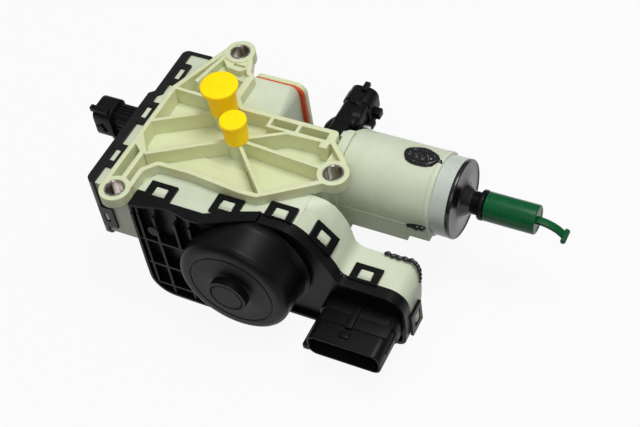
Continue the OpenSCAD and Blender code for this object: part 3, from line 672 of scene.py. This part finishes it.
def shape_sleeves():
    """A rolled steel sleeve with chamfered ends, modelled in the right boss and copied to the other two."""
    bore = MOUNTS["right_hole"]["dims"]["r_mm"]
    outer, top, foot = 5.5, 0.22, -9.3
    profile = [(outer, foot + 0.3), (outer, -0.1), (outer - 0.25, top), (bore + 0.35, top), (bore, -0.15)]
    profile += [(bore, foot + 0.2), (bore + 0.35, foot), (outer - 0.25, foot), (outer, foot + 0.3)]
    sleeve = turned("sleeve_right", "Z", (0, 0, 0), profile, sides=64, closed=False)
    finished(sleeve, "sleeve_steel")
    for side in ("rear", "front"):
        copied(sleeve, f"sleeve_{side}", in_mm(MOUNTS[f"{side}_hole"]["pos_m"]), "sleeve_steel")
    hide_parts("mount_sleeves")


def shape_cup():
    """The round cup over the motor, with its flared foot, its rounded rim, its ring groove and its hub."""
    radius, front, hub, rim = 30.45, -58.6, -63.7, 4.2
    ring_floor, hub_floor = front + 0.9, hub + 2.8
    profile = [(33.0, -37.2), (31.7, -38.0), (30.8, -39.4), (radius, -41.4)]
    profile += arc(radius - rim, front + rim, rim, 0, -90, 6)
    profile += [(23.5, front), (23.2, ring_floor), (22.3, ring_floor), (22.0, front), (12.6, front)]
    profile += [(11.1, front - 0.35), (10.0, front - 1.1), (9.2, front - 2.2), (8.7, hub + 0.6), (8.2, hub)]
    profile += [(7.4, hub), (7.1, hub_floor), (5.5, hub_floor), (5.2, hub + 0.4), (4.8, hub + 0.1)]
    profile += [(0.4, hub)]
    piece = turned("cup", "Y", MOTOR_AXIS, profile, sides=128, closed=False)
    bpy.ops.mesh.edge_face_add()
    finished(piece, "cover_black")


def shape_window_shade_ledges():
    """Painted shade: a black ledge filling the outer part of each snap window in the side cover's top, where the
    opening lies in shade; it is shaped as the inner step of the tab.
    """
    # Black plastic put where the window's opening lies in shade: painted shade.
    ledge = block("window_ledge_1", (-117.6, -27.1, -6.3), (-114.7, -18.9, -4.75), edge=0.4)
    finished(ledge, "cover_black", finish="side_black")
    for number, move in ((2, (0, 32, 0)), (3, (2.8, 63, 0))):
        copied(ledge, f"window_ledge_{number}", move, "cover_black", "side_black")


# Filter, its nozzle and the caps


def shape_filter_end():
    """The filter's glossy black end disc with its hub, and the ribbed nozzle."""
    radius, face, hub = 20.75, 56.8, 61.8
    disc = [(18.6, face - 3.2), (20.5, face - 2.4), (radius, face - 2.0), (radius, face - 0.5), (20.4, face)]
    disc += [(19.8, face + 0.1), (19.4, face - 0.3), (11.2, face - 0.4), (9.8, face), (8.6, face + 1.2)]
    disc += [(7.4, hub - 1.8), (6.5, hub - 0.8), (6.2, hub), (5.1, hub)]
    piece = turned("filter_end_disc", "X", FILTER_AXIS, disc, sides=96)
    finished(piece, "cap_black", replaces=["filter_end_cap"])
    bore, first_rib, collar = 3.2, 62.4, 7.1
    neck = [(5.1, 58.0), (5.1, first_rib)]
    for i in range(3):
        rib = first_rib + 1.1 * i
        neck += [(5.2, rib), (6.0, rib + 0.2), (6.0, rib + 0.6), (5.2, rib + 0.8)]
    neck += [(5.1, 65.9), (7.6, 66.0)] + arc(collar, 66.7, 0.8, -50, 0, 3) + arc(collar, 67.8, 0.8, 0, 90, 3)
    neck += [(NOZZLE_RADIUS, 68.7), (NOZZLE_RADIUS, NOZZLE_END - 1), (4.3, NOZZLE_END), (3.5, NOZZLE_END)]
    neck += [(bore, NOZZLE_END - 0.4), (bore, 72)]
    nozzle = turned("nozzle", "X", FILTER_AXIS, neck, sides=64)
    finished(nozzle, "cover_black", replaces=["inlet_nozzle"])


def shape_shell_trim():
    """The parting line along the filter's shell, and the round rim at its end."""
    line = block("shell_parting_line", (-2.6, 4.9, -31.5), (33.4, 5.7, -30.8), edge=0.2, steps=2)
    finished(line, "housing_plastic")
    end = 46.2
    rim = [(SHELL_RADIUS - 0.1, end - 3.4), (SHELL_RADIUS + 0.25, end - 2.8), (SHELL_RADIUS + 0.3, end - 1.6)]
    rim += arc(SHELL_RADIUS - 0.5, end - 0.8, 0.8, 0, 80, 4) + [(SHELL_RADIUS - 1.2, end)]
    piece = turned("shell_rim", "X", FILTER_AXIS, rim, sides=128, closed=False)
    finished(piece, "housing_plastic")


def shape_green_cap():
    """The green cap over the nozzle, with its curved pull tail and the crossbar at the tail's end."""
    radius, bore, mouth, end = 7.6, 5.1, 68.95, 95.7
    groove, crown = radius - 0.18, 0.9
    profile = [(bore, NOZZLE_END + 0.3), (bore, mouth + 0.45), (5.4, mouth), (7.2, mouth)]
    profile += [(radius, mouth + 0.35), (radius, mouth + 1.25), (groove, mouth + 1.4), (groove, mouth + 1.8)]
    profile += [(radius, mouth + 1.95)] + arc(radius - crown, end - crown, crown, 0, 90, 5)
    profile += [(5.9, end), (5.7, end - 0.25), (1.0, end - 0.3)]
    cap = turned("green_cap", "X", FILTER_AXIS, profile, sides=80)
    finished(cap, "cap_green", "green_cap", replaces=["inlet_cap"])
    tip, height = 95.4, FILTER_Z
    outline = [(tip - 1.0, height + 0.9), (tip + 2.6, height + 0.5), (tip + 5.4, height - 0.1)]
    outline += [(tip + 8.4, height - 1.2), (tip + 11.2, height - 2.9), (tip + 13.4, height - 4.9)]
    outline += [(tip + 14.4, height - 6.2), (tip + 13.0, height - 7.3), (tip + 11.8, height - 6.0)]
    outline += [(tip + 9.8, height - 4.2), (tip + 7.4, height - 2.9), (tip + 4.8, height - 2.0)]
    outline += [(tip + 2.2, height - 1.5), (tip - 1.0, height - 1.3)]
    tail = drawn("green_tail", "XZ", FILTER_Y - 2, outline, 4.2, edge=0.45)
    finished(tail, "cap_green", "green_cap")
    bar = [(tip + 13.0, height - 5.2), (tip + 14.9, height - 5.4), (tip + 15.6, height - 6.8)]
    bar += [(tip + 14.8, height - 8.2), (tip + 13.2, height - 8.4), (tip + 12.6, height - 7.0)]
    crossbar = drawn("green_tail_bar", "XZ", FILTER_Y - 4, bar, 8.0, edge=0.5)
    finished(crossbar, "cap_green", "green_cap")


def shape_port_cap(size, head, body):
    """A yellow port cap with a round-edged head, a tapered body and a moulding gate dimple on top."""
    node = f"{size}_port_cap"
    spigot = MOUNTS[f"{size}_spigot"]
    x, y = in_mm(spigot["pos_m"])[:2]
    bore = spigot["dims"]["r_mm"] + 0.3
    height = round(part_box(node)[1].z / MM, 2)
    neck, dimple, lip, crown = height - 3.4, height - 0.25, 0.5, 0.7
    profile = [(bore, neck), (bore, 0.6), (bore + 0.3, 0.1), (body - 0.6, 0.0), (body - 0.1, 0.4)]
    profile += [(body + 0.45, neck), (head - lip, height - 2.6)]
    profile += arc(head - lip, height - 2.1, lip, -60, 0, 3)
    profile += arc(head - crown, height - crown, crown, 0, 90, 4)
    profile += [(1.5, height), (1.2, dimple), (0.3, dimple)]
    piece = turned(f"yellow_cap_{size}", "Z", (x, y, 0), profile, sides=80)
    finished(piece, "cap_yellow", f"{size}_cap", replaces=[node])


# Sealant


def laid_bead(name, beads, replaces=()):
    """Sealant laid from a nozzle: blobs of their own radius along a path, run together and smoothed."""
    bpy.ops.object.select_all(action="DESELECT")
    x, y, z, radius = beads[0]
    bpy.ops.mesh.primitive_ico_sphere_add(subdivisions=3, radius=radius * MM, location=at(x, y, z))
    piece = started(name)
    for x, y, z, radius in beads[1:]:
        bpy.ops.mesh.primitive_ico_sphere_add(subdivisions=3, radius=radius * MM, location=at(x, y, z))
    bpy.ops.object.mode_set(mode="OBJECT")
    run_together = piece.modifiers.new("run_together", "REMESH")
    run_together.mode = "VOXEL"
    run_together.voxel_size = 0.35 * MM
    bpy.ops.object.modifier_apply(modifier=run_together.name)
    settle = piece.modifiers.new("settle", "SMOOTH")
    settle.iterations = 7
    bpy.ops.object.modifier_apply(modifier=settle.name)
    shape_on(piece)
    finished(piece, "sealant_black", smooth=80, replaces=replaces)


def on_shell(x, y, lift, radius):
    """A blob over a point of the filter's shell, with its middle raised by lift."""
    return (x, y, FILTER_Z + math.sqrt(SHELL_RADIUS ** 2 - (y - FILTER_Y) ** 2) + lift, radius)


def shape_sealant_patch():
    """The oval patch on the shell, with a rim, a squiggle laid over its middle and a few stray blobs."""
    middle_x, middle_y, long, wide, around = 34.4, 28.6, 7.9, 4.9, 30
    patch = []
    for i in range(around):
        turn = 2 * math.pi * i / around
        x, y = middle_x + long * math.cos(turn), middle_y + wide * math.sin(turn)
        patch.append(on_shell(x, y, 0.3, 1.45 + 0.15 * math.sin(5 * turn)))
    for i in range(12):
        x = 28.2 + 1.15 * i
        patch.append(on_shell(x, middle_y + 1.2 * math.sin(1.9 * i), 0.9, 1.0 + 0.25 * math.cos(2.3 * i)))
        for y in (31.8, 30.4, 29, 27.6, 26.2, 25.2):
            patch.append(on_shell(x, y, -0.3, 1.35))
    for x, y, radius in ((43.6, 28.2, 1.0), (44.7, 28.9, 0.9), (45.4, 27.6, 0.8), (25.8, 30.6, 1.0)):
        patch.append(on_shell(x, y, 0.1, radius))
    laid_bead("sealant_patch", patch, replaces=["sealant_beads"])


def shape_sealant_edges():
    """The wavy beads along the shell's lower edge and the bracket's edge, and a drip on the housing."""
    edge = []
    for i in range(10):
        y = 5.4 - 0.1 * i + 0.6 * math.sin(2.1 * i)
        edge.append((35.6 + 0.95 * i, y, -31.5 + 0.24 * i, 1.5 + 0.45 * math.sin(2.7 * i)))
    laid_bead("sealant_shell_edge", edge)
    row = []
    for i in range(14):
        y = -11.9 + 0.4 * math.sin(1.7 * i)
        row.append((30.4 + 1.15 * i, y, -36.0, 1.1 + 0.3 * math.sin(2.3 * i)))
    row += [(46.2, -12.1, -36.6, 1.3), (47.8, -12.8, -37.4, 1.2), (49.0, -13.9, -38.6, 1.3)]
    row += [(49.9, -15.2, -40.2, 1.1), (50.3, -16.2, -42.0, 1.0), (50.4, -16.8, -43.8, 0.8)]
    laid_bead("sealant_bracket_edge", row)
    drip = [(13.0, -31.6, -31.9, 0.9), (14.0, -31.8, -33.6, 0.8), (15.2, -32, -35.2, 0.9)]
    drip += [(16.8, -32.2, -36.2, 0.8)]
    laid_bead("sealant_drip", drip)


# Connectors


def shape_sensor_body():
    """The pressure sensor's round base and its two-step neck, with the window and the clip's tab on them."""
    place, top, shoulder = (-14.7, 40, 0), -11.4, 10.8
    base = [(6.0, -24), (6.0, -19.2), (10.2, -19.1), (shoulder, -18.6), (shoulder, -15.4)]
    base += arc(shoulder - 1.5, -14.9, 1.5, 0, 60, 4)
    base += [(9.0, top - 1.6), (8.6, top - 1.0), (6.0, top - 0.2), (0.5, top)]
    finished(turned("sensor_base", "Z", place, base), "cover_black", replaces=["pressure_sensor"])
    neck = block("sensor_neck", (-20.4, 38.5, -19.4), (-6.8, 57, -7.3), edge=3.2, steps=5)
    finished(neck, "cover_black")
    root = block("sensor_neck_root", (-20.6, 30.5, -19.4), (-9.6, 43, -8.2), edge=2.6, steps=5)
    finished(root, "cover_black")
    window = block("sensor_window", (-11.6, 44.2, -8.6), (-7.6, 47.0, -6.9), edge=0.35)
    finished(window, "rubber_black")
    tab = block("sensor_clip_tab", (-5.6, 43.2, -20), (-1.4, 45.4, -12.2), edge=0.5)
    finished(tab, "clip_steel")


def shape_sensor_hood():
    """The hood of the sensor's connector, with its mouth, its latch under an arch, its key and its ribs."""
    x, end, z = in_mm(MOUNTS["sensor_socket"]["pos_m"])
    mouth, half_width, half_height = end - 0.1, 7.75, 7.8
    lowest = (x - half_width, 55.4, z - half_height)
    hood = block("sensor_hood", lowest, (x + half_width, mouth, z + half_height), edge=0)
    round_along(hood, "Y", 5.0)
    hollow(hood, "Y", mouth, wall=1.6, depth=8.6)
    round_edges(0.5, sharp=50)
    finished(hood, "cover_black")
    for name, low, high in (
        ("sensor_neck_rib", (-15.6, 42.5, -8.2), (-14.7, 56, -6.9)),
        ("sensor_latch", (-6.4, 56.6, -19.6), (-2.2, 61.4, -15.2)),
        ("sensor_latch_arm", (-7.0, 50.5, -20.4), (-4.4, 60.5, -17.8)),
        ("sensor_latch_foot", (-12, 50.5, -21.4), (-3.6, 55, -18.8)),
        ("sensor_key", (-13.8, 61.5, -7.6), (-10.8, 67.6, -4.8)),
        ("sensor_key_root", (-13.2, 57.5, -7.4), (-11.4, 62.5, -6.3)),
        ("sensor_side_rib", (-22.3, 55.8, -13.4), (-21.0, 64.5, -11.2)),
    ):
        finished(block(name, low, high, edge=0.45), "cover_black")
    middle, wide, tall, wall, foot = (-14.2, -15.2), 8.6, 9.0, 1.6, -20.5
    angles = (1.9, 1.5, 1.1, 0.7, 0.3, 0)
    arch = bend(middle, wide, tall, angles)
    arch += [(middle[0] + wide, foot), (middle[0] + wide - wall, foot)]
    arch += bend(middle, wide - wall, tall - wall, angles[::-1])
    finished(drawn("sensor_arch", "XZ", 52.6, arch, 3.6, edge=0.35), "cover_black")


def shape_side_connector():
    """The connector on the side cover: its oval hood, the ribbed neck, the key and the latch notch."""
    mouth = in_mm(MOUNTS["side_socket"]["pos_m"])[0]
    shoulder, root = -134, -119.6
    hood = block("side_hood", (mouth, 1, -26), (-133, 17, -6.6), edge=0)
    round_along(hood, "X", 5.0)
    hollow(hood, "X", mouth, wall=1.7, depth=-9.5)
    round_edges(0.5, sharp=50)
    finished(hood, "cover_black", replaces=["side_connector"])
    neck = block("side_neck", (shoulder, 3.4, -24.6), (root, 15.6, -8.8), edge=0)
    round_along(neck, "X", 3.2)
    round_edges(0.4, sharp=50)
    finished(neck, "cover_black")
    top_rib = block("side_neck_rib_1", (shoulder, 4.9, -9.4), (root, 5.9, -8.2), edge=0.35)
    finished(top_rib, "cover_black")
    copied_row(top_rib, 4, (0, 2.15, 0), "cover_black")
    front_rib = block("side_neck_front_rib_1", (shoulder, 2.8, -13.4), (root, 4.2, -12.4), edge=0.35)
    finished(front_rib, "cover_black")
    copied_row(front_rib, 3, (0, 0, -3.8), "cover_black")
    key = block("side_key", (-145.6, 2.4, -8.4), (-134.5, 5.4, -5.3), edge=0.5)
    finished(key, "cover_black")
    notch = [(-143, -17), (-139, -14.8), (-137, -20.2), (-141.5, -20.8)]
    finished(drawn("side_latch", "XZ", 0.1, notch, 1.4, edge=0.35), "cover_black")
    floor = block("side_neck_floor", (-136, 2.2, -26), (root, 16.5, -23.2))
    finished(floor, "cover_black")


def shape_main_connector():
    """The wide connector under the bracket: its shell and mouth, the stepped deck, the rail, nub and fin."""
    x, mouth, z = in_mm(MOUNTS["main_socket"]["pos_m"])
    half_width, half_height = 19.8, 7
    lowest = (x - half_width, mouth, z - half_height)
    shell = block("main_shell", lowest, (x + half_width, -36, z + half_height), edge=0)
    round_along(shell, "Y", 4.8)
    hollow(shell, "Y", mouth, wall=1.1, depth=-20)
    round_edges(0.3, steps=2, sharp=50)
    finished(shell, "cover_black", replaces=["main_connector"])
    root = block("main_root", (7.2, -44.4, -63.8), (48.6, -35, -48.6), edge=0)
    round_along(root, "Y", 4.8)
    round_edges(0.4, steps=2, sharp=50)
    finished(root, "cover_black")
    step = [(11.5, -51.4), (46.6, -51.4), (46.6, -40), (11.5, -40)]
    finished(drawn("main_deck", "XY", -49.6, step, 0.95, edge=0.25), "cover_black")
    foot = [(25.4, -44), (25.4, -51.2), (21.6, -51.4), (23.2, -50.2), (24.3, -48.2), (24.8, -46)]
    finished(drawn("main_rail_foot", "XY", -48.8, foot, 0.6, edge=0.25), "cover_black")
    for name, low, high, edge in (
        ("main_rail", (25.1, -52.6, -49.4), (28.7, -38, -47.4), 0.5),
        ("main_nub", (24.0, -58.4, -49.6), (29.4, -54.6, -48.3), 0.6),
        ("main_fin", (5.2, -62.7, -62.6), (9.0, -44, -58.6), 0.7),
        ("main_side_ridge", (47.2, -56, -55.4), (48.8, -40, -53.4), 0.5),
        ("main_under_rib", (16, -60, -64.4), (40, -40, -62.8), 0.5),
    ):
        finished(block(name, low, high, edge), "cover_black")


shape_housing()
shape_lugs()
merged_finish("frame", "mounting_frame", "frame_plastic")
shape_rear_cover()
shape_sleeves()
shape_main_connector()
merged_finish("front_plate", "front_cover", "cover_black")
merged_finish("side_plate", "side_cover", "cover_black", "side_black")
shape_cup()
shape_filter_end()
shape_shell_trim()
shape_green_cap()
shape_port_cap("large", head=9.9, body=7.3)
shape_port_cap("small", head=7.1, body=6.2)
shape_sealant_patch()
shape_sealant_edges()
shape_sensor_body()
shape_sensor_hood()
shape_side_connector()
shape_window_shade_ledges()


# Room


FLOOR_SIZE = 6
FLOOR_GAP = 0.0002
FLOOR_GLOW = 0.92
FLOOR_DARK = (0.025, 0.025, 0.025, 1)
FLOOR_LIGHT = (0.03, 0.03, 0.03, 1)
SKY_TOP = 0.6
SKY_LOW = 0.02
WHITE = (1, 1, 1, 1)
LIGHT_AIM = (-0.03, 0, -0.03)


def add_floor():
    """A pale light table. It shows in glossy faces but lights nothing, so the undersides stay in shade."""
    bpy.ops.object.select_all(action="DESELECT")
    bpy.ops.mesh.primitive_plane_add(size=FLOOR_SIZE, location=(0, 0, cad_box[0].z - FLOOR_GAP))
    floor = bpy.context.object
    floor.name = "floor"
    shade = material("floor_white")
    base = shade.mix(shade.noise(scale=3, detail=2), FLOOR_DARK, FLOOR_LIGHT)
    look = shade.finish(Base_Color=base, Roughness=0.9, Emission_Color=WHITE, Emission_Strength=FLOOR_GLOW)
    floor.data.materials.append(look)
    floor.visible_diffuse = False


def add_sky():
    """Soft light that is strongest overhead and fades towards the floor."""
    world = bpy.data.worlds.new("studio")
    bpy.context.scene.world = world
    shade = Shade(world, "Generated")
    height = shade.node("ShaderNodeSeparateXYZ", out=2, Vector=shade.place)
    strength = shade.ramp(height, 0.0, 1.0) * (SKY_TOP - SKY_LOW) + SKY_LOW * shade.ramp(height, -0.35, 0.0)
    sky = shade.node("ShaderNodeBackground", Color=WHITE, Strength=strength)
    shade.node("ShaderNodeOutputWorld", Surface=sky)


def add_light(name, place, size, power):
    """A round soft light that looks at the middle of the pump."""
    data = bpy.data.lights.new(name, "AREA")
    data.shape = "DISK"
    data.size = size
    data.energy = power
    lamp = bpy.data.objects.new(name, data)
    lamp.location = place
    aim = Vector(LIGHT_AIM) - Vector(place)
    lamp.rotation_euler = aim.to_track_quat("-Z", "Y").to_euler()
    bpy.context.scene.collection.objects.link(lamp)


def add_room():
    add_floor()
    add_sky()
    add_light("key", (0.25, 0.15, 1.1), 0.55, 8)
    add_light("front", (0.35, -0.7, 0.8), 0.45, 1.6)


# The camera's right, its up and its place, which were found from the mounting frame's plane and edges.
CAMERA_RIGHT = Vector((0.89417, 0.43140, -0.11978))
CAMERA_UP = Vector((-0.26042, 0.71877, 0.64463))
CAMERA_PLACE = Vector((0.2611, -0.4087, 0.53035))
LENS_MM = 82.71
SENSOR_MM = 36
NEAREST = 0.05
FARTHEST = 20


def add_camera():
    """The camera at the photograph's viewing angle."""
    data = bpy.data.cameras.new("camera")
    data.lens = LENS_MM
    data.sensor_width = SENSOR_MM
    data.clip_start = NEAREST
    data.clip_end = FARTHEST
    camera = bpy.data.objects.new("camera", data)
    right = CAMERA_RIGHT.normalized()
    back = right.cross(CAMERA_UP).normalized()
    up = back.cross(right)
    turn = Matrix((right, up, back)).transposed().to_4x4()
    camera.matrix_world = Matrix.Translation(CAMERA_PLACE) @ turn
    bpy.context.scene.collection.objects.link(camera)
    bpy.context.scene.camera = camera


paint_frame()
add_room()
add_camera()

bpy.context.scene.view_settings.view_transform = "Standard"
